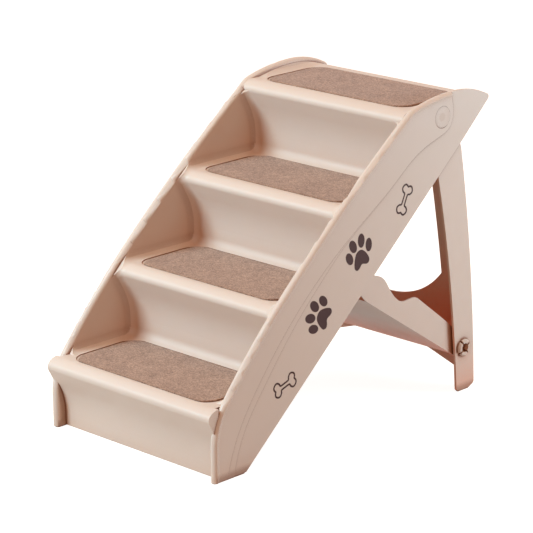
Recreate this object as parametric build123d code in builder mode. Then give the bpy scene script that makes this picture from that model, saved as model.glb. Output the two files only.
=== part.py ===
from build123d import *
from math import acos, cos, degrees, radians, sin, tan
import os

# Foldable pet stairs in millimetres: +X is the right side seen from the front,
# +Y runs rearwards in the climbing direction, +Z is up, and z = 0 is the floor.

# Overall and steps
shell_width = 367
overall_length = 621.5
step_count = 4
step_run = 142
step_rise = 123
first_step_height = 114.2
shell_wall = 3.5
cut_overrun = 4

# Side wall: inner cheek, the slot that the leg folds into, and outer panel
cheek_wall = 2.4
leg_gap = 0.6
leg_plate = 4.2
panel_wall = 6.3
rim_wall = 4.5
rim_round = 6.9
cheek_trim = 22.4
cheek_trim_end = 665
cheek_trim_round = 12
side_depth = cheek_wall + 2 * leg_gap + leg_plate + panel_wall
half_width = shell_width / 2
inner_half = half_width - side_depth
slot_inner = inner_half + cheek_wall
slot_outer = half_width - panel_wall
leg_inner = slot_inner + leg_gap
leg_outer = leg_inner + leg_plate

# Front line of the side wall: a straight post, then arcs with these radii and end headings
post_front = 8
post_height = 54.6
post_heading = 90
front_headings = [51.5, 43.5, 36, 15.5, 0, -28.5]
front_radii = [100, 1190, 2867, 50, 360, 175]
front_run_out = 60
edge_foot = 73.4
edge_angle = 40.7
edge_bend = 562
edge_bend_radius = 80
tip_radius = 6

# Nosing and riser of one step, measured from the nosing's front and the tread's top
nose_top_radius = 23.7
nose_front_radius = 10
nose_split = 45
nose_lean = 27.8
riser_recess = 26
riser_ease_radius = 104
riser_foot_radius = 15
step_side_radius = 14
low_air_top = 22
low_air_depth = 60
web_inset = 7
nose_end_inset = 4.5
nose_end_depth = 16
nose_end_drop = 43
tread_back = 607
tread_back_radius = 8
tread_skirt = 28

# Tread mats and their recesses
mat_side_gap = 19.4
mat_width = 2 * (inner_half - mat_side_gap)
mat_depth = 132
mat_thick = 3
mat_corner = 28
mat_edge = 0.8
mat_front = 24
recess_depth = 1.5
recess_end_gap = 6
recess_front_gap = 1.5

# Soft valley behind the rim, and the fine terraces of the outer panel
valley_offsets = [3.5, 7, 11]
valley_depths = [0, 2, 2.6]
valley_depth = valley_depths[-1]
terrace_depth = 0.8
terrace_front_low = [(34, 0), (46, 40.2), (66, 81.2), (90, 116.2), (158, 197.2), (235, 268.2)]
terrace_front_middle = [(325, 331.2), (404, 382.2), (440, 408.2), (473, 424.2), (508, 435.2)]
terrace_front_end = [(527, 445.2), (534, 460.2), (534, 477.2), (530, 501.2)]
terrace_rear_low = [(49, 0), (58, 36.2), (80, 81.2), (104, 113.2), (171, 194.2)]
terrace_rear_end = [(237, 259.2), (290, 304.2), (404, 381.2), (432, 406.2)]

# Leg pivot, with its pin through the side wall
pivot_y = 510
pivot_z = 463.2
pin_radius = 7
pin_head_radius = 17.5
pin_head_land = 3
pin_pocket_depth = 1.8
pin_head_base = 0.3
pin_pocket_gap = 0.3
pin_fit = 0.08
pin_tail = 2.5
pin_tail_edge = 1.2
retainer_radius = 12
retainer_thick = 2.2
retainer_dish = 0.7

# Leg frame: side plates, back plate with its window, and feet; leg_reach is from pivot to heel
leg_reach = 87
leg_heel = pivot_y + leg_reach
leg_foot_length = 42
leg_toe = leg_heel - leg_foot_length
front_bend_share = 0.23
back_bend_share = 0.845
back_top_share = 0.575
leg_front_mid = (pivot_y + front_bend_share * leg_reach, 242.2)
leg_back_mid = (pivot_y + back_bend_share * leg_reach, 230.2)
leg_back_top = (pivot_y + back_top_share * leg_reach, 405.2)
leg_top_radius = 26
leg_front_touch = 188
leg_heel_rise = 6
leg_sole = 30
leg_back_wall = 3.5
leg_corner = 5
back_plate_top = 413.2
window_top = 390.2
window_top_margin = 64.7
window_margin = 55.7
window_top_half = leg_inner - window_top_margin
window_half = leg_inner - window_margin
window_sill = 182.2
window_low = 127.2
window_corner = 18
arch_heights = [50.2, 48.2, 40.2, 29.2, 20.2]
arch_shares = [0, 0.423, 0.579, 0.776, 0.938]
arch_points = [(share * leg_inner, height) for share, height in zip(arch_shares, arch_heights)]
arch_margin = 0.7
arch_foot = leg_inner - arch_margin

# Brace in its own frame: s runs from the stud up to the front rail, h is square to it
stud_share = 0.678
stud_y = pivot_y + stud_share * leg_reach
stud_z = 73.2
brace_angle = 33.8
arm_wall = 3.2
arm_gap = 1
arm_low = 17.2
arm_crown = [(52, 23), (136, 30), (145, 30), (155, 25), (173, 12.8), (196, 13), (217, 21), (230, 26.5)]
arm_crown_end = (250, 26.5)
arm_nose = [(258, 24), (268, 10), (283, 6), (283, -7), (278, -12), (252, -17.2)]
web_start = 12
web_end = 252
web_wall = 3
rib_height = 9
rib_wall = 2.5
rib_offset = 84
rail_at = 275
rail_drop = 5
rail_radius = 6

# Snap studs that hinge the brace on the leg
stud_radius = 11.5
stud_bore = 7.5
stud_fit = 0.08
stud_head_radius = 16
stud_head_thick = 3
stud_barb_radius = 14
stud_barb_length = 5.4
stud_barb_lead = 2.5
stud_slot = 3
stud_slot_depth = 9
stud_boss_radius = 15
stud_boss_gap = 0.3

# Catches under the second step that hold the brace's front rail
catch_offset = 100
catch_thick = 10
catch_radius = 15
catch_clearance = 0.6
catch_mouth_angle = 214.8
catch_mouth_length = 40
catch_mouth_flare = 3
catch_root_high = 62
catch_root_low = 2

# Anti-slip pads
pad_thick = 1.2
pad_inset = 1
pad_plug = 7
pad_plug_length = 30
pad_corner = 4
pad_plug_gap = 0.15
pad_edge = 0.4

side = Plane(origin=(0, -overall_length / 2, 0), x_dir=(0, 1, 0), z_dir=(1, 0, 0))
front = Plane(origin=(0, 0, 0), x_dir=(1, 0, 0), z_dir=(0, -1, 0))


def edge_height(y):
    """Height of the straight rear edge of the side wall above the floor at y."""
    return (y - edge_foot) * tan(radians(edge_angle))


def front_line(lowest):
    """Draw the front line of the side wall in the open line builder and return its last arc."""
    line = Line((post_front, lowest), (post_front, post_height))
    heading = post_heading
    for end_heading, radius in zip(front_headings, front_radii):
        line = JernArc(line @ 1, line % 1, radius, end_heading - heading)
        heading = end_heading
    return line


def step_corner(step):
    """Front of a step's nosing and the height of its tread."""
    return step * step_run, first_step_height + step * step_rise


def step_line(lowest):
    """Draw risers, nosings and treads in the open line builder and return the last point."""
    split = radians(nose_split)
    lean = radians(nose_lean)
    reach = nose_top_radius * sin(split) + nose_front_radius * (1 - cos(split))
    bead_back = nose_front_radius * (1 - cos(lean))
    ease_back = riser_ease_radius * (1 - cos(lean))
    flank = (riser_recess - bead_back - ease_back) / sin(lean)
    for step in range(step_count):
        y, z = step_corner(step)
        top = JernArc((y + reach, z), (-1, 0), nose_top_radius, nose_split)
        bead = JernArc(top @ 1, top % 1, nose_front_radius, nose_split + nose_lean)
        under = Line(bead @ 1, bead @ 1 + bead % 1 * flank)
        ease = JernArc(under @ 1, under % 1, riser_ease_radius, -nose_lean)
        Line(ease @ 1, ((ease @ 1).X, lowest if step == 0 else z - step_rise))
        tread_end = y + step_run + riser_recess if step < step_count - 1 else tread_back
        Line((y + reach, z), (tread_end, z))
    return tread_back, z


def mat_place(step):
    """Centre of a step's mat on the tread's surface, in the row frame."""
    nose_y, tread_z = step_corner(step)
    return 0, nose_y + mat_front + mat_depth / 2 - overall_length / 2, tread_z


def brace_point(s, h):
    """Place in the YZ plane of a point of the brace's own frame."""
    turn = radians(brace_angle)
    return stud_y - s * cos(turn) + h * sin(turn), stud_z + s * sin(turn) + h * cos(turn)


def tangent_point(centre, radius, outside):
    """Point where the line from outside touches the circle, on its left seen from the centre."""
    reach = Vector(*outside) - Vector(*centre)
    swing = degrees(acos(radius / reach.length))
    return Vector(*centre) + reach.normalized().rotate(Axis.Z, swing) * radius


# Side wall outline
with BuildSketch(Plane.YZ) as side_outline:
    with BuildLine():
        rim_end = front_line(pad_thick) @ 1
        foot_rear = edge_foot + pad_thick / tan(radians(edge_angle))
        Polyline(
            rim_end,
            (edge_bend, edge_height(edge_bend)),
            (foot_rear, pad_thick),
            (post_front, pad_thick),
        )
    make_face()
    bend_corner = side_outline.vertices().sort_by_distance((edge_bend, edge_height(edge_bend)))[0]
    fillet(bend_corner, edge_bend_radius)

with BuildSketch(Plane.YZ) as rounded_outline:
    add(side_outline.sketch_local)
    fillet(rounded_outline.vertices().sort_by_distance(rim_end)[0], tip_radius)

with BuildSketch(Plane.YZ) as tip_waste:
    add(side_outline.sketch_local)
    add(rounded_outline.sketch_local, mode=Mode.SUBTRACT)

# Area behind the front line, open to the rear and the floor, for offsets
with BuildSketch(Plane.YZ) as behind_front:
    with BuildLine():
        crown = front_line(-first_step_height)
        past_tip = crown @ 1 + crown % 1 * front_run_out
        Polyline(
            crown @ 1,
            past_tip,
            (past_tip.X, -first_step_height),
            (post_front, -first_step_height),
        )
    make_face()

with BuildSketch(Plane.YZ) as slot_area:
    offset(behind_front.sketch_local, amount=-rim_wall)

with BuildSketch(Plane.YZ) as web_area:
    offset(behind_front.sketch_local, amount=-web_inset)
    add(side_outline.sketch_local, mode=Mode.INTERSECT)

with BuildSketch(Plane.YZ) as valley_top:
    offset(behind_front.sketch_local, amount=-valley_offsets[0])

with BuildSketch(Plane.YZ) as valley_middle:
    offset(behind_front.sketch_local, amount=-valley_offsets[1])

with BuildSketch(Plane.YZ) as valley_floor:
    offset(behind_front.sketch_local, amount=-valley_offsets[2])

# Cheek area that stays clear of the folded leg and brace, along the rear edge
with BuildSketch(Plane.YZ) as cheek_band:
    with BuildLine():
        along = Vector(cos(radians(edge_angle)), sin(radians(edge_angle)))
        inward = Vector(-along.Y, along.X)
        foot = Vector(edge_foot, 0)
        Polyline(
            foot - along * cheek_trim_end / 2 + inward * cheek_trim,
            foot + along * cheek_trim_end + inward * cheek_trim,
            foot + along * cheek_trim_end - inward * cheek_trim_end,
            foot - along * cheek_trim_end / 2 - inward * cheek_trim_end,
            close=True,
        )
    make_face()
    fillet(cheek_band.vertices().sort_by(Axis.Y)[-1], cheek_trim_round)

# Fine terraces of the outer panel, each the area behind its line
with BuildSketch(Plane.YZ) as front_terrace:
    with BuildLine():
        line = Spline(*terrace_front_low, *terrace_front_middle, *terrace_front_end)
        Polyline(
            line @ 1,
            (past_tip.X, (line @ 1).Y),
            (past_tip.X, -cut_overrun),
            (terrace_front_low[0][0], -cut_overrun),
            line @ 0,
        )
    make_face()

with BuildSketch(Plane.YZ) as rear_terrace:
    with BuildLine():
        line = Spline(*terrace_rear_low, *terrace_rear_end)
        Polyline(
            line @ 1,
            ((line @ 1).X, 2 * (line @ 1).Y),
            (past_tip.X, 2 * (line @ 1).Y),
            (past_tip.X, -cut_overrun),
            (terrace_rear_low[0][0], -cut_overrun),
            line @ 0,
        )
    make_face()
    add(front_terrace.sketch_local, mode=Mode.INTERSECT)

# Material below the step line
with BuildSketch(Plane.YZ) as step_block:
    with BuildLine():
        last = step_line(-first_step_height)
        Polyline(last, (tread_back, -first_step_height), (riser_recess, -first_step_height))
    make_face()
    foot_points = [
        (step_corner(step)[0] + riser_recess, step_corner(step - 1)[1])
        for step in range(1, step_count)
    ]
    foot_vertices = [step_block.vertices().sort_by_distance(point)[0] for point in foot_points]
    fillet(foot_vertices, riser_foot_radius)
    fillet(step_block.vertices().sort_by_distance(last)[0], tread_back_radius)

with BuildSketch(Plane.YZ) as below_sheet:
    offset(step_block.sketch_local, amount=-shell_wall)

with BuildSketch(Plane.YZ) as sheet_keep:
    with BuildLine():
        top_front, top_tread = step_corner(step_count - 1)
        Polyline(
            (-cut_overrun, pad_thick),
            (riser_recess + 2 * shell_wall, pad_thick),
            (riser_recess + 2 * shell_wall, first_step_height / 2),
            (tread_back - tread_skirt, first_step_height / 2),
            (tread_back - tread_skirt, top_tread - tread_skirt),
            (tread_back + cut_overrun, top_tread - tread_skirt),
            (tread_back + cut_overrun, top_tread + cut_overrun),
            (-cut_overrun, top_tread + cut_overrun),
            close=True,
        )
    make_face()

with BuildSketch(Plane.YZ) as step_sheet:
    add(step_block.sketch_local)
    add(below_sheet.sketch_local, mode=Mode.SUBTRACT)
    add(sheet_keep.sketch_local, mode=Mode.INTERSECT)

# Air over the steps, with soft corners where it meets the side walls
with BuildSketch(Plane.YZ) as step_air_area:
    with BuildLine():
        last = step_line(-first_step_height)
        Polyline(
            last,
            (past_tip.X, top_tread),
            (past_tip.X, 2 * top_tread),
            (-first_step_height, 2 * top_tread),
            (-first_step_height, -first_step_height),
            (riser_recess, -first_step_height),
        )
    make_face()
    foot_corners = [step_air_area.vertices().sort_by_distance(point)[0] for point in foot_points]
    fillet(foot_corners, riser_foot_radius)

with BuildSketch(Plane.YZ) as low_air_area:
    add(step_air_area.sketch_local)
    with BuildLine():
        Polyline(
            (-first_step_height, -first_step_height),
            (low_air_depth, -first_step_height),
            (low_air_depth, first_step_height - low_air_top),
            (-first_step_height, first_step_height - low_air_top),
            close=True,
        )
    make_face(mode=Mode.INTERSECT)

with BuildSketch(Plane.YZ) as web_block:
    add(web_area.sketch_local)
    offset(step_block.sketch_local, amount=-shell_wall / 2, mode=Mode.SUBTRACT)

with BuildSketch(Plane.YZ) as nose_end:
    add(step_block.sketch_local)
    with Locations((nose_end_depth / 2, first_step_height - nose_end_drop / 2)):
        Rectangle(nose_end_depth + 2 * cut_overrun, nose_end_drop, mode=Mode.INTERSECT)

with BuildPart() as step_air:
    with BuildSketch(side.offset(-inner_half)):
        add(step_air_area.sketch_local)
    extrude(amount=2 * inner_half)
    low_ends = step_air.faces().sort_by(Axis.X)
    profile = low_ends[0].edges() + low_ends[-1].edges()
    sky_lines = profile.filter_by(Axis.Y).group_by(Axis.Z)[-1]
    end_lines = profile.filter_by(Axis.Z).filter_by(lambda edge: edge.length > top_tread)
    outer_lines = sky_lines + end_lines
    soft = [edge for edge in profile if edge not in outer_lines]
    fillet(soft, step_side_radius)
    with BuildSketch(side.offset(-inner_half)):
        add(low_air_area.sketch_local)
    extrude(amount=2 * inner_half)

# Right-hand side wall
with BuildPart() as side_wall:
    with BuildSketch(side.offset(inner_half)):
        add(side_outline.sketch_local)
    extrude(amount=side_depth)
    fillet(side_wall.edges().filter_by(Axis.Z), rim_round)
    with BuildSketch(side.offset(inner_half)):
        add(tip_waste.sketch_local)
    extrude(amount=side_depth, mode=Mode.SUBTRACT)
    with BuildSketch(side.offset(half_width - valley_depths[2])) as valley_low:
        add(valley_floor.sketch_local)
    with BuildSketch(side.offset(half_width - valley_depths[1])) as valley_knee:
        add(valley_middle.sketch_local)
    with BuildSketch(side.offset(half_width)) as valley_high:
        add(valley_top.sketch_local)
    loft([valley_low.sketch, valley_knee.sketch], ruled=True, mode=Mode.SUBTRACT)
    loft([valley_knee.sketch, valley_high.sketch], ruled=True, mode=Mode.SUBTRACT)
    for terrace, level in ((front_terrace, 1), (rear_terrace, 2)):
        with BuildSketch(side.offset(half_width - valley_depth - level * terrace_depth)):
            add(terrace.sketch_local)
        extrude(amount=half_width, mode=Mode.SUBTRACT)
    with BuildSketch(side.offset(slot_inner)):
        add(slot_area.sketch_local)
    extrude(amount=slot_outer - slot_inner, mode=Mode.SUBTRACT)
    with BuildSketch(side.offset(inner_half - cut_overrun)):
        add(cheek_band.sketch_local)
    extrude(amount=slot_inner - inner_half + cut_overrun, mode=Mode.SUBTRACT)
    with BuildSketch(side.offset(half_width - valley_depth - pin_pocket_depth)):
        with Locations((pivot_y, pivot_z)):
            Circle(pin_head_radius + pin_pocket_gap)
    extrude(amount=half_width, mode=Mode.SUBTRACT)
    with BuildSketch(side.offset(inner_half - cut_overrun)):
        with Locations((pivot_y, pivot_z)):
            Circle(pin_radius + pin_fit)
    extrude(amount=side_depth + 2 * cut_overrun, mode=Mode.SUBTRACT)

# Stair shell
with BuildPart() as step_webs:
    with BuildSketch(side.offset(-slot_inner)):
        add(web_block.sketch_local)
    extrude(amount=2 * slot_inner)
    add(step_air.part, mode=Mode.SUBTRACT)
    with BuildSketch(side.offset(-inner_half)):
        add(below_sheet.sketch_local)
    extrude(amount=2 * inner_half, mode=Mode.SUBTRACT)
    with BuildSketch(side.offset(-slot_inner)):
        add(step_sheet.sketch_local)
    extrude(amount=2 * slot_inner)
    with BuildSketch(side.offset(-half_width)):
        add(cheek_band.sketch_local)
    extrude(amount=half_width - inner_half, mode=Mode.SUBTRACT)
    with BuildSketch(side.offset(inner_half)):
        add(cheek_band.sketch_local)
    extrude(amount=half_width, mode=Mode.SUBTRACT)

catch_y, catch_z = brace_point(rail_at, -rail_drop)
with BuildSketch(Plane.YZ) as catch_plate:
    with BuildLine():
        root_y = 2 * step_run + riser_recess + shell_wall / 2
        root_z = first_step_height + step_rise - shell_wall / 2
        Polyline(
            (root_y, root_z + catch_root_high),
            (catch_y + catch_radius, catch_z),
            (catch_y, catch_z - catch_radius),
            (root_y - catch_radius, root_z - catch_root_low),
            (root_y, root_z),
            close=True,
        )
    make_face()
    with Locations((catch_y, catch_z)):
        Circle(catch_radius)
    with Locations((catch_y, catch_z)):
        Circle(rail_radius + catch_clearance, mode=Mode.SUBTRACT)
    with BuildLine():
        mouth = Vector(cos(radians(catch_mouth_angle)), sin(radians(catch_mouth_angle)))
        across = Vector(-mouth.Y, mouth.X)
        centre = Vector(catch_y, catch_z)
        throat = rail_radius + catch_clearance
        Polyline(
            centre + across * throat,
            centre - across * throat,
            centre - across * (throat + catch_mouth_flare) + mouth * catch_mouth_length,
            centre + across * (throat + catch_mouth_flare) + mouth * catch_mouth_length,
            close=True,
        )
    make_face(mode=Mode.SUBTRACT)

with BuildPart() as stair_shell:
    add(step_webs.part)
    add(side_wall.part)
    with BuildSketch(side.offset(inner_half)):
        add(nose_end.sketch_local)
    extrude(amount=side_depth - nose_end_inset)
    with BuildSketch(side.offset(catch_offset - catch_thick / 2)):
        add(catch_plate.sketch_local)
    extrude(amount=catch_thick)
    mirror(about=Plane.YZ)
    for step in range(step_count):
        recess_width = mat_width + 2 * recess_end_gap
        recess_length = mat_depth + 2 * recess_front_gap
        with BuildSketch(Plane(origin=mat_place(step))) as recess:
            RectangleRounded(recess_width, recess_length, mat_corner + recess_front_gap)
        extrude(recess.sketch, amount=-recess_depth, mode=Mode.SUBTRACT)
        extrude(recess.sketch, amount=mat_thick, mode=Mode.SUBTRACT)
stair_shell.part.label = "stair_shell"


# Tread mats
def tread_mat(step):
    """Draw one tread's felt mat in the open part builder."""
    with BuildSketch(Plane(origin=mat_place(step)).offset(-recess_depth)) as mat_area:
        RectangleRounded(mat_width, mat_depth, mat_corner)
    pressed = extrude(mat_area.sketch, amount=mat_thick)
    fillet(pressed.faces().sort_by(Axis.Z)[-1].edges(), mat_edge)


with BuildPart() as tread_mat_1:
    tread_mat(0)
tread_mat_1.part.label = "tread_mat_1"

with BuildPart() as tread_mat_2:
    tread_mat(1)
tread_mat_2.part.label = "tread_mat_2"

with BuildPart() as tread_mat_3:
    tread_mat(2)
tread_mat_3.part.label = "tread_mat_3"

with BuildPart() as tread_mat_4:
    tread_mat(3)
tread_mat_4.part.label = "tread_mat_4"

# Pivot pins and their push-on retainers
pocket_floor = half_width - valley_depth - pin_pocket_depth
pin_y = pivot_y - overall_length / 2
with BuildPart() as pivot_pin_right:
    with BuildSketch(side.offset(pocket_floor)):
        with Locations((pivot_y, pivot_z)):
            Circle(pin_head_radius)
    extrude(amount=pin_pocket_depth)
    with BuildSketch(Plane.XY.offset(pivot_z - pin_head_radius)):
        with BuildLine():
            Polyline(
                (pocket_floor + pin_head_base, pin_y - pin_head_radius),
                (pocket_floor + pin_pocket_depth, pin_y + pin_head_radius - pin_head_land),
                (half_width, pin_y + pin_head_radius - pin_head_land),
                (half_width, pin_y - 2 * pin_head_radius),
                (pocket_floor + pin_head_base, pin_y - 2 * pin_head_radius),
                close=True,
            )
        make_face()
    extrude(amount=2 * pin_head_radius, mode=Mode.SUBTRACT)
    with BuildSketch(side.offset(inner_half - retainer_thick - pin_tail)):
        with Locations((pivot_y, pivot_z)):
            Circle(pin_radius)
    extrude(amount=pocket_floor - inner_half + retainer_thick + pin_tail)
    chamfer(pivot_pin_right.faces().sort_by(Axis.X)[0].edges(), pin_tail_edge)
pivot_pin_right.part.label = "pivot_pin_right"

with BuildPart() as pivot_pin_left:
    mirror(pivot_pin_right.part, about=Plane.YZ)
pivot_pin_left.part.label = "pivot_pin_left"

with BuildPart() as pin_retainer_right:
    with BuildSketch(side.offset(inner_half - retainer_thick)):
        with Locations((pivot_y, pivot_z)):
            Circle(retainer_radius)
            Circle(pin_radius, mode=Mode.SUBTRACT)
    extrude(amount=retainer_thick)
    chamfer(pin_retainer_right.faces().sort_by(Axis.X)[0].outer_wire().edges(), retainer_dish)
pin_retainer_right.part.label = "pin_retainer_right"

with BuildPart() as pin_retainer_left:
    mirror(pin_retainer_right.part, about=Plane.YZ)
pin_retainer_left.part.label = "pin_retainer_left"

# Leg frame
pivot = (pivot_y, pivot_z)
stud = (stud_y, stud_z)
leg_foot = (leg_toe, pad_thick)
heel_end = (leg_heel, pad_thick + leg_heel_rise)
back_touch = tangent_point(pivot, leg_top_radius, leg_back_top)
front_touch = Vector(*pivot) + Vector(leg_top_radius, 0).rotate(Axis.Z, leg_front_touch)
with BuildSketch(Plane.YZ) as leg_outline:
    with BuildLine():
        ThreePointArc(leg_foot, leg_front_mid, front_touch)
        ThreePointArc(front_touch, (pivot_y, pivot_z + leg_top_radius), back_touch)
        Line(back_touch, leg_back_top)
        ThreePointArc(leg_back_top, leg_back_mid, heel_end)
        Polyline(heel_end, (leg_toe + leg_sole, pad_thick), leg_foot)
    make_face()
    foot_ends = [leg_outline.vertices().sort_by_distance(corner)[0] for corner in (leg_foot, heel_end)]
    fillet(foot_ends, leg_corner)

with BuildSketch(Plane.YZ) as before_back:
    with BuildLine():
        slope = (back_touch.X - leg_back_top[0]) / (back_touch.Y - leg_back_top[1])
        back_top_y = leg_back_top[0] + slope * (back_plate_top - leg_back_top[1])
        ThreePointArc(leg_back_top, leg_back_mid, heel_end)
        Polyline(
            heel_end,
            (pivot_y, pad_thick + leg_heel_rise),
            (pivot_y, back_plate_top),
            (back_top_y, back_plate_top),
            leg_back_top,
        )
    make_face()

with BuildSketch(Plane.YZ) as back_strip:
    add(before_back.sketch_local)
    with Locations((-leg_back_wall, 0)):
        add(before_back.sketch_local, mode=Mode.SUBTRACT)
    add(leg_outline.sketch_local, mode=Mode.INTERSECT)

with BuildSketch(Plane.XZ) as back_window:
    with BuildLine():
        upper = Line((-window_top_half, window_top), (window_top_half, window_top))
        right = Line(upper @ 1, (window_half, window_sill))
        low = ThreePointArc(right @ 1, (0, window_low), (-window_half, window_sill))
        Line(low @ 1, upper @ 0)
    make_face()
    fillet(back_window.vertices().group_by(Axis.Y)[-1], window_corner)

with BuildSketch(Plane.XZ) as foot_arch:
    with BuildLine():
        rim = [(-x, z) for x, z in reversed(arch_points[1:])] + arch_points
        curve = Spline(*rim)
        Polyline(curve @ 1, (arch_foot, 0), (-arch_foot, 0), curve @ 0)
    make_face()

with BuildPart() as leg_frame:
    with BuildSketch(side.offset(leg_inner)):
        add(leg_outline.sketch_local)
        with Locations(pivot):
            Circle(pin_radius + pin_fit, mode=Mode.SUBTRACT)
        with Locations(stud):
            Circle(stud_radius + stud_fit, mode=Mode.SUBTRACT)
    extrude(amount=leg_plate)
    with BuildSketch(side.offset(-leg_inner)):
        add(back_strip.sketch_local)
    extrude(amount=2 * leg_inner)
    mirror(about=Plane.YZ)
    with BuildSketch(front):
        add(back_window.sketch_local)
        add(foot_arch.sketch_local)
    extrude(amount=-overall_length, mode=Mode.SUBTRACT)
leg_frame.part.label = "leg_frame"


# Brace
def brace_plane(x):
    """Plane of the brace's own frame at x, facing the left side."""
    turn = radians(brace_angle)
    return Plane(
        origin=(x, stud_y - overall_length / 2, stud_z),
        x_dir=(0, -cos(turn), sin(turn)),
        z_dir=(-1, 0, 0),
    )


arm_outer = inner_half - arm_gap
arm_inner = arm_outer - arm_wall
rail = (rail_at, -rail_drop)
with BuildSketch(Plane.XY) as arm_outline:
    with BuildLine():
        crown = Spline((0, arm_low), *arm_crown, arm_crown_end)
        Polyline(crown @ 1, *arm_nose, (0, -arm_low), crown @ 0)
    make_face()
    Circle(arm_low)

with BuildPart() as brace_panel:
    with BuildSketch(brace_plane(arm_outer)):
        add(arm_outline.sketch_local)
    extrude(amount=arm_wall)
    with BuildSketch(side.offset(arm_outer)):
        with Locations(stud):
            Circle(stud_boss_radius)
    extrude(amount=leg_inner - stud_boss_gap - arm_outer)
    with BuildSketch(side.offset(arm_inner)):
        with Locations(stud):
            Circle(stud_radius + stud_fit)
    extrude(amount=leg_inner - arm_inner, mode=Mode.SUBTRACT)
    mirror(about=Plane.YZ)
    with BuildSketch(brace_plane(arm_inner)):
        with Locations(((web_start + web_end) / 2, (web_wall - 2 * arm_low) / 2)):
            Rectangle(web_end - web_start, web_wall)
        with Locations(rail):
            Circle(rail_radius)
    extrude(amount=2 * arm_inner)
    for offset_x in (-rib_offset, rib_offset):
        with BuildSketch(brace_plane(offset_x + rib_wall / 2)):
            with Locations(((web_start + web_end) / 2, web_wall - arm_low + rib_height / 2)):
                Rectangle(web_end - web_start - 2 * web_start, rib_height)
        extrude(amount=rib_wall)
brace_panel.part.label = "brace_panel"

# Snap studs
barb_face = leg_outer + stud_fit + stud_barb_length
with BuildPart() as brace_stud_right:
    with BuildSketch(side.offset(arm_inner - stud_head_thick)):
        with Locations(stud):
            Circle(stud_head_radius)
    extrude(amount=stud_head_thick)
    with BuildSketch(side.offset(arm_inner)):
        with Locations(stud):
            Circle(stud_radius)
    extrude(amount=barb_face - arm_inner)
    with BuildSketch(side.offset(leg_outer + stud_fit)):
        with Locations(stud):
            Circle(stud_barb_radius)
    extrude(amount=stud_barb_length)
    chamfer(brace_stud_right.faces().sort_by(Axis.X)[-1].edges(), stud_barb_lead)
    with BuildSketch(side.offset(barb_face)):
        with Locations(stud):
            Circle(stud_bore)
            Rectangle(2 * stud_barb_radius, stud_slot, rotation=brace_angle)
            Rectangle(stud_slot, 2 * stud_barb_radius, rotation=brace_angle)
    extrude(amount=-stud_slot_depth, mode=Mode.SUBTRACT)
brace_stud_right.part.label = "brace_stud_right"

with BuildPart() as brace_stud_left:
    mirror(brace_stud_right.part, about=Plane.YZ)
brace_stud_left.part.label = "brace_stud_left"

# Anti-slip pads
with BuildPart() as front_foot_pad_right:
    with BuildSketch(Plane.XY.offset(pad_thick)):
        pad_low = Vector(inner_half + pad_inset, post_front + pad_inset - overall_length / 2)
        pad_high = Vector(half_width - valley_depth - pad_inset, edge_foot - overall_length / 2)
        with Locations((pad_low + pad_high) / 2):
            RectangleRounded(pad_high.X - pad_low.X, pad_high.Y - pad_low.Y, pad_corner)
    extrude(amount=-pad_thick)
    chamfer(front_foot_pad_right.faces().sort_by(Axis.Z)[0].edges(), pad_edge)
    with BuildSketch(Plane.XY.offset(pad_thick)):
        plug_front = post_front + rim_wall + pad_plug_gap
        plug_low = Vector(slot_inner + pad_plug_gap, plug_front - overall_length / 2)
        plug_high = Vector(slot_outer - pad_plug_gap, plug_low.Y + pad_plug_length)
        with Locations((plug_low + plug_high) / 2):
            Rectangle(plug_high.X - plug_low.X, plug_high.Y - plug_low.Y)
    extrude(amount=pad_plug)
front_foot_pad_right.part.label = "front_foot_pad_right"

with BuildPart() as front_foot_pad_left:
    mirror(front_foot_pad_right.part, about=Plane.YZ)
front_foot_pad_left.part.label = "front_foot_pad_left"

with BuildPart() as rear_foot_pad_right:
    with BuildSketch(Plane.XY.offset(pad_thick)):
        sole_middle = leg_toe + leg_sole / 2 + pad_inset
        with Locations(((leg_inner + leg_outer) / 2, sole_middle - overall_length / 2)):
            Rectangle(leg_plate, leg_sole - leg_corner)
    extrude(amount=-pad_thick)
    chamfer(rear_foot_pad_right.faces().sort_by(Axis.Z)[0].edges(), pad_edge)
rear_foot_pad_right.part.label = "rear_foot_pad_right"

with BuildPart() as rear_foot_pad_left:
    mirror(rear_foot_pad_right.part, about=Plane.YZ)
rear_foot_pad_left.part.label = "rear_foot_pad_left"

os.makedirs("parts", exist_ok=True)
export_step(stair_shell.part, "parts/stair_shell.step")
export_step(tread_mat_1.part, "parts/tread_mat_1.step")
export_step(tread_mat_2.part, "parts/tread_mat_2.step")
export_step(tread_mat_3.part, "parts/tread_mat_3.step")
export_step(tread_mat_4.part, "parts/tread_mat_4.step")
export_step(pivot_pin_right.part, "parts/pivot_pin_right.step")
export_step(pivot_pin_left.part, "parts/pivot_pin_left.step")
export_step(pin_retainer_right.part, "parts/pin_retainer_right.step")
export_step(pin_retainer_left.part, "parts/pin_retainer_left.step")
export_step(leg_frame.part, "parts/leg_frame.step")
export_step(brace_panel.part, "parts/brace_panel.step")
export_step(brace_stud_right.part, "parts/brace_stud_right.step")
export_step(brace_stud_left.part, "parts/brace_stud_left.step")
export_step(front_foot_pad_right.part, "parts/front_foot_pad_right.step")
export_step(front_foot_pad_left.part, "parts/front_foot_pad_left.step")
export_step(rear_foot_pad_right.part, "parts/rear_foot_pad_right.step")
export_step(rear_foot_pad_left.part, "parts/rear_foot_pad_left.step")
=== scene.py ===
import math

import bmesh
import bpy
from mathutils import Matrix, Vector, noise


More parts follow.
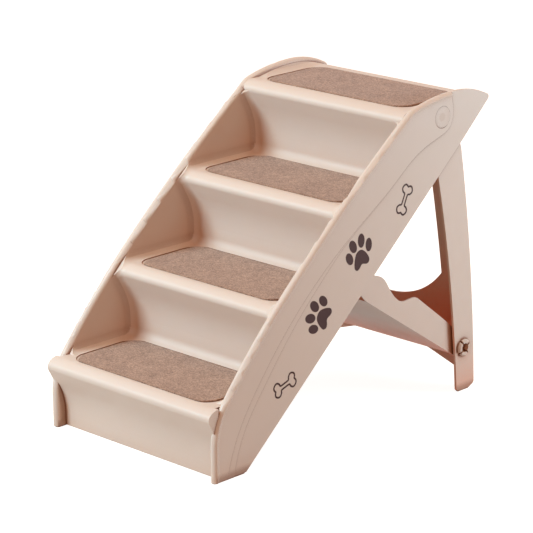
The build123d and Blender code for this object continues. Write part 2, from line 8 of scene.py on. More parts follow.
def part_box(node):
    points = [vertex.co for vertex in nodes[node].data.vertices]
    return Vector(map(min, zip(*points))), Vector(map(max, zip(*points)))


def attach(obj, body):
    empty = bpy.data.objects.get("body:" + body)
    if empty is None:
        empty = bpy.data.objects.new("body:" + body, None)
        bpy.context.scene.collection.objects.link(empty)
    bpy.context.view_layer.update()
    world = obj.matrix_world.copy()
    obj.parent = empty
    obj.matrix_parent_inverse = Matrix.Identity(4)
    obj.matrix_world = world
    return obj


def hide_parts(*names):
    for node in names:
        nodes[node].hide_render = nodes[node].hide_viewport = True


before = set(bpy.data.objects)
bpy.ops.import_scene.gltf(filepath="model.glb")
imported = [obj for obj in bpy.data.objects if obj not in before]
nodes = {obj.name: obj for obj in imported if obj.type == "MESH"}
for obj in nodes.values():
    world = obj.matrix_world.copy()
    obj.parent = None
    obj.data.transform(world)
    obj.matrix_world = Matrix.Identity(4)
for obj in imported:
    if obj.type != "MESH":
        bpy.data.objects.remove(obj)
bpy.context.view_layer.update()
scene = bpy.context.scene
backShift = -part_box("stair_shell")[0].y  # stair coordinates start at the first nosing
print("frame loaded:", len(nodes), "nodes")

white = (1, 1, 1, 1)
black = (0, 0, 0, 1)


def paint(red, green, blue):
    # 0-255 screen colour to the linear colour that shaders use
    def linear(level):
        share = level / 255
        return share / 12.92 if share <= 0.04045 else ((share + 0.055) / 1.055) ** 2.4

    return linear(red), linear(green), linear(blue), 1.0


def newPiece(name, bm, material, body):
    mesh = bpy.data.meshes.new(name)
    bm.normal_update()
    bm.to_mesh(mesh)
    bm.free()
    piece = bpy.data.objects.new(name, mesh)
    scene.collection.objects.link(piece)
    mesh.materials.append(material)
    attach(piece, body)
    return piece


class NodeDesk:
    # small helper that adds nodes and links in one tree
    def __init__(self, tree):
        self.tree = tree

    def add(self, kind, **values):
        node = self.tree.nodes.new(kind)
        for key, value in values.items():
            setattr(node, key, value)
        return node

    def link(self, source, target):
        self.tree.links.new(source, target)

    def feed(self, value, target):
        # a socket takes a link or a constant
        if hasattr(value, "is_linked"):
            self.link(value, target)
        else:
            target.default_value = value

    def place(self):
        return self.add("ShaderNodeTexCoord").outputs["Object"]

    def fade(self, source, full, none):
        # white where the source is under full, black where it is over none
        node = self.add("ShaderNodeValToRGB")
        first, last = node.color_ramp.elements
        first.position, first.color = full, white
        last.position, last.color = none, black
        self.link(source, node.inputs["Fac"])
        return node.outputs["Color"]

    def noise(self, vector, scale, detail, rough=0.5, output="Fac"):
        node = self.add("ShaderNodeTexNoise")
        self.feed(scale, node.inputs["Scale"])
        node.inputs["Detail"].default_value = detail
        node.inputs["Roughness"].default_value = rough
        self.link(vector, node.inputs["Vector"])
        return node.outputs[output]

    def math(self, operation, first, second=None, clamp=False):
        node = self.add("ShaderNodeMath", operation=operation, use_clamp=clamp)
        self.feed(first, node.inputs[0])
        if second is not None:
            self.feed(second, node.inputs[1])
        return node.outputs[0]

    def times(self, first, second, clamp=False):
        return self.math("MULTIPLY", first, second, clamp)

    def mix(self, factor, first, second):
        # a colour mix uses inputs 0, 6 and 7 and output 2 of its node
        node = self.add("ShaderNodeMix", data_type="RGBA")
        for socket, value in ((0, factor), (6, first), (7, second)):
            self.feed(value, node.inputs[socket])
        return node.outputs[2]


def newGroup(name, inputs, outputs):
    # an input is a colour where its value is a tuple, and an output where it is named Colour
    group = bpy.data.node_groups.new(name, "ShaderNodeTree")
    for label, value in inputs.items():
        kind = "NodeSocketColor" if isinstance(value, tuple) else "NodeSocketFloat"
        socket = group.interface.new_socket(label, in_out="INPUT", socket_type=kind)
        socket.default_value = value
    for label in outputs:
        kind = "NodeSocketColor" if label == "Colour" else "NodeSocketFloat"
        group.interface.new_socket(label, in_out="OUTPUT", socket_type=kind)
    desk = NodeDesk(group)
    return group, desk, desk.add("NodeGroupInput"), desk.add("NodeGroupOutput")


noiseMiddle = 0.5  # noise textures vary round this value

# moulded plastic: faint flow marks, spark-eroded grain and a slight drift of tone
skinForm = {
    "cloud": {"scale": 5.0, "detail": 3.0},
    "patch": {"scale": 34.0, "detail": 4.0},
    "flow": {"scale": 120.0, "detail": 2.0},
    "grainDetail": 3.0,
    "grainShare": 0.7,
    "flowShare": 0.3,
    "roughnessSpread": 0.22,
}


def buildMouldedSkin():
    group, desk, given, out = newGroup(
        "mouldedSkin",
        {
            "Colour": (0.8, 0.7, 0.6, 1),
            "Shade Colour": (0.6, 0.5, 0.4, 1),
            "Drift": 0.2,
            "Grain Scale": 1400.0,
            "Roughness": 0.42,
        },
        ["Colour", "Roughness", "Height"],
    )
    place = desk.place()
    cloud = desk.noise(place, **skinForm["cloud"])
    patch = desk.noise(place, **skinForm["patch"])
    flow = desk.noise(place, **skinForm["flow"])
    grain = desk.noise(place, given.outputs["Grain Scale"], skinForm["grainDetail"])
    drift = desk.times(desk.math("ADD", cloud, patch), given.outputs["Drift"])
    tone = desk.mix(drift, given.outputs["Colour"], given.outputs["Shade Colour"])
    spread = desk.times(desk.math("SUBTRACT", patch, noiseMiddle), skinForm["roughnessSpread"])
    rough = desk.math("ADD", given.outputs["Roughness"], spread)
    fine = desk.times(grain, skinForm["grainShare"])
    broad = desk.times(flow, skinForm["flowShare"])
    desk.link(tone, out.inputs["Colour"])
    desk.link(rough, out.inputs["Roughness"])
    desk.link(desk.math("ADD", fine, broad), out.inputs["Height"])
    return group


# wear and painted light: convex edges rubbed paler, partly a painted highlight, painted shade
# in closed corners, and dark fine lines of painted shade in creases, gaps and grooves
wearForm = {
    "speckle": {"scale": 420.0, "detail": 4.0, "rough": 0.6},
    "edge": {"full": 0.45, "none": 0.9},
    "shut": {"full": 0.2, "none": 0.7},
    "gap": {"full": 0.5, "none": 0.85},
    "crease": {"full": 0.8, "none": 0.985},
    "hollow": {"full": 0.78, "none": 0.985},
    "edgeSamples": 4,
    "cornerSamples": 6,
    "seamSamples": 8,
    "wideReach": 3.5,
    "sideFacing": 0.8,
}


def buildWearAndPaintedLight():
    group, desk, given, out = newGroup(
        "edgeWear",
        {
            "Colour": (0.8, 0.7, 0.6, 1),
            # rubbed edges take a painted highlight; corners, creases and grooves take painted
            # shade
            "Rubbed Colour": (0.9, 0.85, 0.8, 1),
            "Corner Colour": (0.5, 0.4, 0.3, 1),
            "Rub": 0.4,
            "Edge Width": 0.002,
            "Corner": 0.4,
            "Corner Reach": 0.06,
            "Seam Colour": (0.3, 0.2, 0.15, 1),
            "Seam": 0.5,
            "Seam Reach": 0.003,
            "Groove": 0.3,
        },
        ["Colour"],
    )
    facing = desk.add("ShaderNodeNewGeometry").outputs["True Normal"]

    def openness(reach, samples, inside=False):
        # the true normal keeps smooth shading out of the masks
        probe = desk.add("ShaderNodeAmbientOcclusion", samples=samples, inside=inside)
        desk.link(reach, probe.inputs["Distance"])
        desk.link(facing, probe.inputs["Normal"])
        return probe.outputs["AO"]

    convex = openness(given.outputs["Edge Width"], wearForm["edgeSamples"], True)
    closed = openness(given.outputs["Corner Reach"], wearForm["cornerSamples"])
    tight = openness(given.outputs["Seam Reach"], wearForm["seamSamples"])
    wideReach = desk.times(given.outputs["Seam Reach"], wearForm["wideReach"])
    wide = openness(wideReach, wearForm["seamSamples"])
    edge = desk.fade(convex, **wearForm["edge"])
    shut = desk.fade(closed, **wearForm["shut"])
    gap = desk.fade(tight, **wearForm["gap"])
    crease = desk.fade(tight, **wearForm["crease"])
    hollow = desk.fade(wide, **wearForm["hollow"])

    split = desk.add("ShaderNodeSeparateXYZ")
    desk.link(facing, split.inputs["Vector"])
    sideways = desk.math("ABSOLUTE", split.outputs["X"])
    side = desk.math("GREATER_THAN", sideways, wearForm["sideFacing"])
    speckle = desk.noise(desk.place(), **wearForm["speckle"])
    # convex edges rubbed paler, partly a painted highlight
    rub = desk.times(desk.times(edge, speckle), given.outputs["Rub"], clamp=True)
    # painted shade: a deeper, warmer tone in closed corners
    corner = desk.times(shut, given.outputs["Corner"], clamp=True)
    # painted shade along fine creases and narrow gaps
    line = desk.math("MAXIMUM", gap, desk.times(crease, side))
    seam = desk.times(line, given.outputs["Seam"], clamp=True)
    # painted shade in wider grooves on side faces
    groove = desk.times(desk.times(hollow, side), given.outputs["Groove"], clamp=True)
    # the painted highlight goes on first, then the painted shade of corners, then of creases
    # and grooves
    rubbed = desk.mix(rub, given.outputs["Colour"], given.outputs["Rubbed Colour"])
    deep = desk.mix(corner, rubbed, given.outputs["Corner Colour"])
    lined = desk.mix(desk.math("MAXIMUM", seam, groove), deep, given.outputs["Seam Colour"])
    desk.link(lined, out.inputs["Colour"])
    return group


# needle-punched felt: short tangled strands, pale flecks and broad pile shading
fibreForm = {
    "stretch": (0.8, 1.0, 1.0),
    "bend": {"scale": 220.0, "detail": 2.0, "output": "Color"},
    "bendReach": (0.004, 0.004, 0.004),
    "strand": {"detail": 6.0, "rough": 0.72},
    "strandContrast": 3.4,
    "cloud": {"scale": 26.0, "detail": 3.0, "rough": 0.6},
    "patch": {"scale": 110.0, "detail": 3.0, "rough": 0.6},
    "patchHeight": 0.5,
    "roughness": 0.86,
    "roughnessSpread": 0.12,
}


def buildFeltFibre():
    group, desk, given, out = newGroup(
        "feltFibre",
        {
            "Dark Fibre": (0.2, 0.13, 0.1, 1),
            "Pale Fibre": (0.5, 0.4, 0.33, 1),
            "Fibre Scale": 900.0,
            "Pile": 0.4,
        },
        ["Colour", "Roughness", "Height"],
    )
    place = desk.place()
    stretch = desk.add("ShaderNodeMapping")
    stretch.inputs["Scale"].default_value = fibreForm["stretch"]
    desk.link(place, stretch.inputs["Vector"])
    stretched = stretch.outputs["Vector"]
    push = desk.add("ShaderNodeVectorMath", operation="MULTIPLY_ADD")
    desk.link(desk.noise(stretched, **fibreForm["bend"]), push.inputs[0])
    push.inputs[1].default_value = fibreForm["bendReach"]
    desk.link(stretched, push.inputs[2])
    bent = push.outputs["Vector"]
    strand = desk.noise(bent, given.outputs["Fibre Scale"], **fibreForm["strand"])
    cloud = desk.noise(place, **fibreForm["cloud"])
    patch = desk.noise(place, **fibreForm["patch"])
    uneven = desk.math("SUBTRACT", desk.math("ADD", cloud, patch), 2 * noiseMiddle)
    pile = desk.times(uneven, given.outputs["Pile"])
    strong = desk.math("SUBTRACT", strand, noiseMiddle)
    strong = desk.times(strong, fibreForm["strandContrast"])
    shade = desk.math("ADD", desk.math("ADD", strong, pile), noiseMiddle, clamp=True)
    tone = desk.mix(shade, given.outputs["Dark Fibre"], given.outputs["Pale Fibre"])
    spread = desk.times(strand, fibreForm["roughnessSpread"])
    raised = desk.times(patch, fibreForm["patchHeight"])
    desk.link(tone, out.inputs["Colour"])
    desk.link(desk.math("ADD", fibreForm["roughness"], spread), out.inputs["Roughness"])
    desk.link(desk.math("ADD", strand, raised), out.inputs["Height"])
    return group


mouldedSkin = buildMouldedSkin()
edgeWear = buildWearAndPaintedLight()
feltFibre = buildFeltFibre()
print("shared shader groups built")


def startMaterial(name, sockets):
    material = bpy.data.materials.new(name)
    material.use_nodes = True
    desk = NodeDesk(material.node_tree)
    shader = material.node_tree.nodes["Principled BSDF"]
    for label, value in sockets.items():
        shader.inputs[label].default_value = value
    return material, desk, shader


def lookKey(label):
    # Grain Scale becomes grainScale
    first, *others = label.split()
    return first.lower() + "".join(others)


def placeGroup(desk, group, look):
    # a look's values go to the group inputs of the same name
    node = desk.add("ShaderNodeGroup", node_tree=group)
    for socket in node.inputs:
        if lookKey(socket.name) in look:
            socket.default_value = look[lookKey(socket.name)]
    return node


def addBump(desk, height, shader, look):
    bump = desk.add("ShaderNodeBump")
    bump.inputs["Strength"].default_value = look["bump"]
    bump.inputs["Distance"].default_value = look["bumpDepth"]
    desk.link(height, bump.inputs["Height"])
    desk.link(bump.outputs["Normal"], shader.inputs["Normal"])


def addWornSkin(desk, shader, look):
    skin = placeGroup(desk, mouldedSkin, look)
    wear = placeGroup(desk, edgeWear, look)
    desk.link(skin.outputs["Colour"], wear.inputs["Colour"])
    desk.link(wear.outputs["Colour"], shader.inputs["Base Color"])
    desk.link(skin.outputs["Roughness"], shader.inputs["Roughness"])
    addBump(desk, skin.outputs["Height"], shader, look)


def plasticMaterial(name, look):
    material, desk, shader = startMaterial(name, {
        "IOR": look["ior"],
        "Specular IOR Level": look["gloss"],
        "Subsurface Weight": look["glowThrough"],
        "Subsurface Scale": look["glowDepth"],
        "Subsurface Radius": look["glowRadius"],
    })
    addWornSkin(desk, shader, look)
    return material


# stair shell: warm beige moulded plastic
shellLook = {
    "colour": paint(219, 201, 189),
    "shadeColour": paint(214, 193, 179),
    # paler rubbed edges, partly a painted highlight
    "rubbedColour": paint(233, 219, 210),
    # painted shade in closed corners
    "cornerColour": paint(212, 152, 110),
    "drift": 0.3,
    "grainScale": 1500.0,
    "roughness": 0.46,
    "ior": 1.49,
    "gloss": 0.5,
    "glowThrough": 0.12,
    "glowDepth": 0.004,
    "glowRadius": (1.0, 0.55, 0.35),
    "rub": 0.5,
    "corner": 0.6,
    "cornerReach": 0.08,
    # painted shade along creases and gaps, and in grooves on the side faces
    "seamColour": paint(140, 92, 66),
    "seam": 0.95,
    "seamReach": 0.0045,
    "groove": 0.6,
    "bump": 0.35,
    "bumpDepth": 0.0002,
}
shellPlastic = plasticMaterial("shellPlastic", shellLook)

# leg frame and brace: the same plastic, a shade warmer, with orange painted shade where it
# closes in
legLook = dict(
    shellLook,
    colour=paint(222, 203, 191),
    shadeColour=paint(212, 190, 175),
    cornerColour=paint(246, 132, 70),
    corner=1.0,
    cornerReach=0.16,
    roughness=0.5,
)
legPlastic = plasticMaterial("legPlastic", legLook)

# pivot pins and snap studs: smoother plastic, rubbed paler on the faces, partly a painted
# highlight, with the shell's painted shade
pinLook = dict(
    shellLook,
    colour=paint(214, 193, 180),
    shadeColour=paint(204, 180, 164),
    roughness=0.36,
    rub=0.8,
    grainScale=2600.0,
)
pinPlastic = plasticMaterial("pinPlastic", pinLook)

# foot pads: brown rubber
padLook = {
    "colour": paint(150, 118, 98),
    "shadeColour": paint(118, 90, 74),
    # rubbed edges paler, partly a painted highlight, and painted shade in corners
    "rubbedColour": paint(176, 150, 132),
    "cornerColour": paint(92, 66, 52),
    "drift": 0.5,
    "grainScale": 2200.0,
    "roughness": 0.8,
    "ior": 1.5,
    "rub": 0.6,
    "corner": 0.6,
    "cornerReach": 0.004,
    "bump": 0.5,
    "bumpDepth": 0.0003,
}


def rubberMaterial(look):
    material, desk, shader = startMaterial("padRubber", {"IOR": look["ior"]})
    addWornSkin(desk, shader, look)
    return material


padRubber = rubberMaterial(padLook)

# pin retainers: brushed steel
clipLook = {
    "colour": paint(178, 178, 180),
    # rubbed edges paler, partly a painted highlight, and painted shade in corners
    "rubbedColour": paint(222, 222, 224),
    "cornerColour": paint(112, 104, 98),
    "brushScale": 900.0,
    "brushWander": 2.0,
    "roughLow": 0.26,
    "roughSpread": 0.16,
    "rub": 0.8,
    "corner": 0.5,
    "cornerReach": 0.004,
    "bump": 0.2,
    "bumpDepth": 0.0001,
}


def steelMaterial(look):
    material, desk, shader = startMaterial("clipSteel", {"Metallic": 1.0})
    ring = desk.add("ShaderNodeTexWave", wave_type="RINGS", rings_direction="X")
    ring.inputs["Scale"].default_value = look["brushScale"]
    ring.inputs["Distortion"].default_value = look["brushWander"]
    desk.link(desk.place(), ring.inputs["Vector"])
    brush = ring.outputs["Fac"]
    wear = placeGroup(desk, edgeWear, look)
    rough = desk.math("ADD", look["roughLow"], desk.times(brush, look["roughSpread"]))
    desk.link(wear.outputs["Colour"], shader.inputs["Base Color"])
    desk.link(rough, shader.inputs["Roughness"])
    addBump(desk, brush, shader, look)
    return material


clipSteel = steelMaterial(clipLook)

# tread mats: mauve-brown felt
feltLook = {
    "darkFibre": paint(106, 70, 52),
    "paleFibre": paint(198, 160, 136),
    "fibreScale": 480.0,
    "pile": 0.45,
    "sheen": 0.25,
    "sheenRoughness": 0.6,
    "gloss": 0.2,
    "bump": 0.8,
    "bumpDepth": 0.0012,
}


def feltMaterial(look):
    material, desk, shader = startMaterial("matFelt", {
        "Sheen Weight": look["sheen"],
        "Sheen Roughness": look["sheenRoughness"],
        "Specular IOR Level": look["gloss"],
    })
    fibre = placeGroup(desk, feltFibre, look)
    desk.link(fibre.outputs["Colour"], shader.inputs["Base Color"])
    desk.link(fibre.outputs["Roughness"], shader.inputs["Roughness"])
    addBump(desk, fibre.outputs["Height"], shader, look)
    return material


matFelt = feltMaterial(feltLook)

# printed paws and bones: dark brown ink
printLook = {
    "colour": paint(74, 44, 42),
    "shadeColour": paint(60, 34, 33),
    "drift": 0.5,
    "grainScale": 1500.0,
    "roughness": 0.55,
    "ior": 1.45,
    "gloss": 0.25,
    "bump": 0.3,
    "bumpDepth": 0.0002,
}


def printMaterial(look):
    sockets = {"IOR": look["ior"], "Specular IOR Level": look["gloss"]}
    material, desk, shader = startMaterial("pawPrint", sockets)
    skin = placeGroup(desk, mouldedSkin, look)
    desk.link(skin.outputs["Colour"], shader.inputs["Base Color"])
    desk.link(skin.outputs["Roughness"], shader.inputs["Roughness"])
    addBump(desk, skin.outputs["Height"], shader, look)
    return material


pawPrint = printMaterial(printLook)

nodeMaterials = {
    "stair_shell": shellPlastic,
    "leg_frame": legPlastic,
    "brace_panel": legPlastic,
    "pivot_pin": pinPlastic,
    "brace_stud": pinPlastic,
    "pin_retainer": clipSteel,
    "front_foot_pad": padRubber,
    "rear_foot_pad": padRubber,
    "tread_mat": matFelt,
}
for nodeName, node in nodes.items():
    stem = next(key for key in nodeMaterials if nodeName.startswith(key))
    node.data.materials.clear()
    node.data.materials.append(nodeMaterials[stem])
print("materials made and given to the nodes")

# tread mats: felt sheets with rounded corners, soft edges and a slightly uneven pile
matShape = {
    "count": 4,
    "cornerRadius": 0.028,
    "cell": 0.003,
    "edgeSteps": [0.0, 0.0003, 0.0009, 0.0018],
    "edgeDrops": [0.0010, 0.0005, 0.0002, 0.00005],
    "stepSlack": 1e-7,
    "baseLift": 0.0001,
    "waviness": 0.00035,
    "waveScale": 42,
    "waveShift": 9.1,
    "sideWander": 0.0004,
    "wanderScale": 4,
    "wanderBand": 0.001,
}


def gridLines(length, steps, cell):
    inner = length - 2 * steps[-1]
    count = max(2, round(inner / cell))
    middle = [steps[-1] + inner * i / count for i in range(count + 1)]
    return steps[:-1] + middle + [length - s for s in reversed(steps[:-1])]


def roundCorner(x, y, halfX, halfY, radius):
    # bends the corner squares of a grid into quarter discs
    u, v = (abs(x) - halfX + radius) / radius, (abs(y) - halfY + radius) / radius
    if u <= 0 or v <= 0:
        return x, y
    across, along = u * math.sqrt(1 - v * v / 2), v * math.sqrt(1 - u * u / 2)
    return (
        math.copysign(halfX - radius + across * radius, x),
        math.copysign(halfY - radius + along * radius, y),
    )


def unitNoise(spot):
    # smooth noise from 0 to 1
    return 0.5 + 0.5 * noise.noise(spot)


def edgeDrop(inset):
    # how far the top lies under its full height, this far in from the mat's edge
    pairs = zip(matShape["edgeSteps"], matShape["edgeDrops"])
    return next((drop for step, drop in pairs if inset <= step + matShape["stepSlack"]), 0)


def buildMat(nodeName, seed):
    low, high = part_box(nodeName)
    centre, half = (low + high) / 2, (high - low) / 2
    xs = gridLines(2 * half.x, matShape["edgeSteps"], matShape["cell"])
    ys = gridLines(2 * half.y, matShape["edgeSteps"], matShape["cell"])
    bm = bmesh.new()

    def point(gx, gy, top):
        inset = min(gx, 2 * half.x - gx, gy, 2 * half.y - gy)
        x, y = roundCorner(gx - half.x, gy - half.y, half.x, half.y, matShape["cornerRadius"])
        waveScale = matShape["waveScale"]
        spot = Vector((x * waveScale + seed * matShape["waveShift"], y * waveScale, seed))
        wander = matShape["sideWander"] * unitNoise(spot * matShape["wanderScale"])
        wander *= inset < matShape["wanderBand"]
        z = low.z + matShape["baseLift"]
        if top:
            z = high.z - edgeDrop(inset) - matShape["waviness"] * unitNoise(spot)
        x, y = x - math.copysign(wander, x), y - math.copysign(wander, y)
        return centre.x + x, centre.y + y, z

    def layer(top):
        return [[bm.verts.new(point(gx, gy, top)) for gy in ys] for gx in xs]

    upper, lower = layer(True), layer(False)
    lastX, lastY = len(xs) - 1, len(ys) - 1
    for i in range(lastX):
        for j in range(lastY):
            bm.faces.new((upper[i][j], upper[i + 1][j], upper[i + 1][j + 1], upper[i][j + 1]))
            bm.faces.new((lower[i][j], lower[i][j + 1], lower[i + 1][j + 1], lower[i + 1][j]))
    rim = [(i, 0) for i in range(lastX)] + [(lastX, j) for j in range(lastY)]
    rim += [(i, lastY) for i in range(lastX, 0, -1)] + [(0, j) for j in range(lastY, 0, -1)]
    for (i, j), (k, m) in zip(rim, rim[1:] + rim[:1]):
        bm.faces.new((upper[i][j], lower[i][j], lower[k][m], upper[k][m]))
    bmesh.ops.recalc_face_normals(bm, faces=bm.faces)
    for face in bm.faces:
        face.smooth = True
    mat = newPiece("felt_" + nodeName, bm, matFelt, "stairs")
    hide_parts(nodeName)


for number in range(1, matShape["count"] + 1):
    buildMat("tread_mat_%d" % number, number)
print("felt mats laid")

# printed paws and bones on both side walls, in stair coordinates
printShape = {"panelFace": 0.1793, "filmThick": 0.00012}
pawPlaces = [
    {"y": 0.3262, "z": 0.2731, "turn": 18},
    {"y": 0.2444, "z": 0.2008, "turn": 61},
]
bonePlaces = [
    {"y": 0.42415, "z": 0.3485, "turn": 64.9},
    {"y": 0.15845, "z": 0.1159, "turn": 17.6},
]
outerToe = {"across": 0.0225, "up": 0.0150, "halfWide": 0.0070, "halfTall": 0.0107, "lean": 15}
innerToe = {"across": 0.0096, "up": 0.0295, "halfWide": 0.0074, "halfTall": 0.0112, "lean": 14}
pawForm = {
    "padHalf": [
        (0.0065, 0.0150),
        (0.0120, 0.0085),
        (0.0160, -0.0005),
        (0.0168, -0.0070),
        (0.0132, -0.0112),
        (0.0080, -0.0108),
    ],
    "padTop": (0.0, 0.0168),
    "padNotch": (0.0, -0.0068),
    "padSteps": 6,
    "toeSteps": 28,
}
boneForm = {
    "shaftTop": (0.0, 0.0033),
    "shaftFoot": (0.0, -0.0033),
    "quarter": [
        (0.0050, 0.0033),
        (0.0090, 0.0040),
        (0.0106, 0.0082),
        (0.0146, 0.0116),
        (0.0192, 0.0108),
        (0.0226, 0.0072),
        (0.0224, 0.0032),
    ],
    "notch": (0.0208, 0.0),
    "stroke": 0.0027,
    "steps": 5,
    "leastTurn": 1e-6,
}


def smoothLoop(points, steps):
    # closed Catmull-Rom curve through the points
    count, loop = len(points), []
    for i in range(count):
        a, b, c, d = (Vector(points[(i + k - 1) % count]) for k in range(4))
        slope, bend, twist = c - a, 2 * a - 5 * b + 4 * c - d, 3 * b - a - 3 * c + d
        for j in range(steps):
            t = j / steps
            loop.append(0.5 * (2 * b + slope * t + bend * t * t + twist * t ** 3))
    return loop


def ellipse(x, y, wide, tall, turn, count):
    angle = math.radians(turn)
    loop = []
    for i in range(count):
        a = 2 * math.pi * i / count
        u, v = wide * math.cos(a), tall * math.sin(a)
        across = x + u * math.cos(angle) - v * math.sin(angle)
        up = y + u * math.sin(angle) + v * math.cos(angle)
        loop.append(Vector((across, up)))
    return loop


def pawLoops():
    half = pawForm["padHalf"]
    mirrored = [(-x, y) for x, y in reversed(half)]
    outline = [pawForm["padTop"]] + half + [pawForm["padNotch"]] + mirrored
    loops = [smoothLoop(outline, pawForm["padSteps"])]
    for toe in (outerToe, innerToe):
        for side in (-1, 1):
            across, lean = side * toe["across"], -side * toe["lean"]
            size = (toe["halfWide"], toe["halfTall"])
            loops.append(ellipse(across, toe["up"], *size, lean, pawForm["toeSteps"]))
    return loops


def boneLoop():
    quarter = boneForm["quarter"]
    right = quarter + [boneForm["notch"]] + [(x, -y) for x, y in reversed(quarter)]
    left = [(-x, -y) for x, y in right]
    outline = [boneForm["shaftTop"]] + right + [boneForm["shaftFoot"]] + left
    return smoothLoop(outline, boneForm["steps"])


def insetLoop(loop, amount):
    count, inner = len(loop), []
    for i in range(count):
        before, here, after = loop[i - 1], loop[i], loop[(i + 1) % count]
        first, second = (here - before).normalized(), (after - here).normalized()
        normal = Vector((-(first.y + second.y), first.x + second.x))
        turned = normal.length > boneForm["leastTurn"]
        inner.append(here + normal.normalized() * amount if turned else here)
    return inner


def placeOnPanel(point, place, side):
    turn = math.radians(place["turn"])
    x, y = point
    return Vector((
        side * printShape["panelFace"],
        place["y"] + x * math.cos(turn) - y * math.sin(turn) - backShift,
        place["z"] + x * math.sin(turn) + y * math.cos(turn),
    ))


def filmRings(bm, loop, place, side):
    lift = Vector((side * printShape["filmThick"], 0, 0))
    points = [placeOnPanel(point, place, side) for point in loop]
    base = [bm.verts.new(point) for point in points]
    return base, [bm.verts.new(point + lift) for point in points]


def bridge(bm, ringA, ringB):
    for i in range(len(ringA)):
        j = (i + 1) % len(ringA)
        bm.faces.new((ringA[i], ringA[j], ringB[j], ringB[i]))


def addFilm(bm, loop, place, side, hole=None):
    # a thin raised film of ink, closed all round
    base, top = filmRings(bm, loop, place, side)
    rings = [(base, top)]
    if hole is None:
        bm.faces.new(top)
        bm.faces.new(base)
    else:
        innerBase, innerTop = filmRings(bm, hole, place, side)
        bridge(bm, top, innerTop)
        bridge(bm, base, innerBase)
        rings.append((innerBase, innerTop))
    for low, high in rings:
        bridge(bm, low, high)


def finishPrint(name, bm):
    bmesh.ops.recalc_face_normals(bm, faces=bm.faces)
    newPiece(name, bm, pawPrint, "stairs")


def buildPrints(side, sideName):
    for number, place in enumerate(pawPlaces, 1):
        bm = bmesh.new()
        for loop in pawLoops():
            addFilm(bm, loop, place, side)
        finishPrint("paw_print_%d_%s" % (number, sideName), bm)
    for number, place in enumerate(bonePlaces, 1):
        bm = bmesh.new()
        middle, half = boneLoop(), boneForm["stroke"] / 2
        addFilm(bm, insetLoop(middle, -half), place, side, insetLoop(middle, half))
        finishPrint("bone_print_%d_%s" % (number, sideName), bm)


buildPrints(1, "right")
buildPrints(-1, "left")
print("prints placed on both side walls")

# floor, sky and lamps: warm ambient light, cool key and fill, and a slightly warm top lamp
studio = {
    "floorHalf": 14,
    "floorDrop": 0.0002,
    "floorColour": (0.46, 0.4, 0.34, 1),
    "floorRoughness": 0.9,
    "floorGloss": 0.1,
    "floorGlow": 0.93,
    "worldLight": 0.51,
    "worldColour": (1.0, 0.51, 0.31, 1),
    "lampAim": (0, 0, 0.25),
}
lamps = {
    "key_light": {
        "power": 71.0,
        "colour": (0.6, 0.88, 1.0),
        "place": (-1.0, -2.0, 1.7),
        "size": 1.0,
    },
    "top_light": {
        "power": 21.0,
        "colour": (1.0, 0.85, 0.6),
        "place": (0.0, -0.2, 3.2),
        "size": 1.6,
    },
    "fill_light": {
        "power": 19.5,
        "colour": (0.6, 0.87, 1.0),
        "place": (1.35, 1.25, 0.6),
        "size": 0.55,
    },
}


def seenRays(desk):
    # the rays that see floor and sky as white: camera, mirror and clear ones
    rays = desk.add("ShaderNodeLightPath").outputs
    passed = desk.math("MAXIMUM", rays["Is Glossy Ray"], rays["Is Transmission Ray"])
    return desk.math("MAXIMUM", rays["Is Camera Ray"], passed)


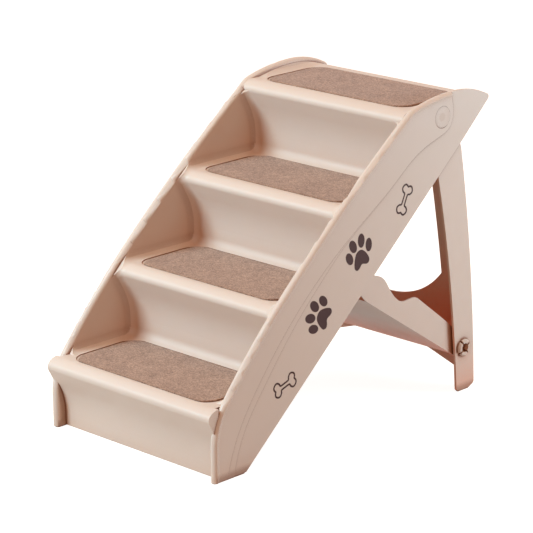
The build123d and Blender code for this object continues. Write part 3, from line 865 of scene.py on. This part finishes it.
def buildFloor():
    bm = bmesh.new()
    bmesh.ops.create_grid(bm, x_segments=2, y_segments=2, size=studio["floorHalf"])
    mesh = bpy.data.meshes.new("studio_floor")
    bm.to_mesh(mesh)
    bm.free()
    floor = bpy.data.objects.new("studio_floor", mesh)
    scene.collection.objects.link(floor)
    floor.location.z = -studio["floorDrop"]
    material, desk, shader = startMaterial("studioFloor", {
        "Base Color": studio["floorColour"],
        "Roughness": studio["floorRoughness"],
        "Specular IOR Level": studio["floorGloss"],
        "Emission Color": white,
    })
    glow = desk.times(seenRays(desk), studio["floorGlow"])
    desk.link(glow, shader.inputs["Emission Strength"])
    mesh.materials.append(material)


def addSky(desk, colour, strength):
    sky = desk.add("ShaderNodeBackground")
    sky.inputs["Color"].default_value = colour
    sky.inputs["Strength"].default_value = strength
    return sky.outputs["Background"]


def buildWorld():
    world = bpy.data.worlds.new("studio")
    scene.world = world
    world.use_nodes = True
    world.node_tree.nodes.clear()
    desk = NodeDesk(world.node_tree)
    mixer = desk.add("ShaderNodeMixShader")
    desk.link(seenRays(desk), mixer.inputs[0])
    desk.link(addSky(desk, studio["worldColour"], studio["worldLight"]), mixer.inputs[1])
    desk.link(addSky(desk, white, 1.0), mixer.inputs[2])
    out = desk.add("ShaderNodeOutputWorld")
    desk.link(mixer.outputs[0], out.inputs["Surface"])


def areaLight(name, form):
    lamp = bpy.data.lights.new(name, "AREA")
    lamp.size, lamp.energy, lamp.color = form["size"], form["power"], form["colour"]
    lampObject = bpy.data.objects.new(name, lamp)
    scene.collection.objects.link(lampObject)
    lampObject.location = form["place"]
    aim = Vector(studio["lampAim"]) - Vector(form["place"])
    lampObject.rotation_euler = aim.to_track_quat("-Z", "Y").to_euler()


buildFloor()
buildWorld()
for lampName, lampForm in lamps.items():
    areaLight(lampName, lampForm)

cameraSet = {
    "place": (2.7103, -2.7269, 1.3973),
    "aim": (0.0723, -0.081, 0.2628),
    "roll": -0.688,
    "sensor": 36,
    "focalShare": 4.815,
    "clipEnd": 60,
}
camera = bpy.data.objects.new("camera", bpy.data.cameras.new("camera"))
scene.collection.objects.link(camera)
camera.location = cameraSet["place"]
look = (Vector(cameraSet["aim"]) - camera.location).to_track_quat("-Z", "Y").to_matrix()
roll = Matrix.Rotation(math.radians(cameraSet["roll"]), 3, "Z")
camera.rotation_euler = (look @ roll).to_euler()
camera.data.sensor_width = cameraSet["sensor"]
camera.data.lens = cameraSet["sensor"] * cameraSet["focalShare"]
camera.data.clip_end = cameraSet["clipEnd"]
scene.camera = camera
scene.view_settings.view_transform = "Standard"
print("studio and camera set")
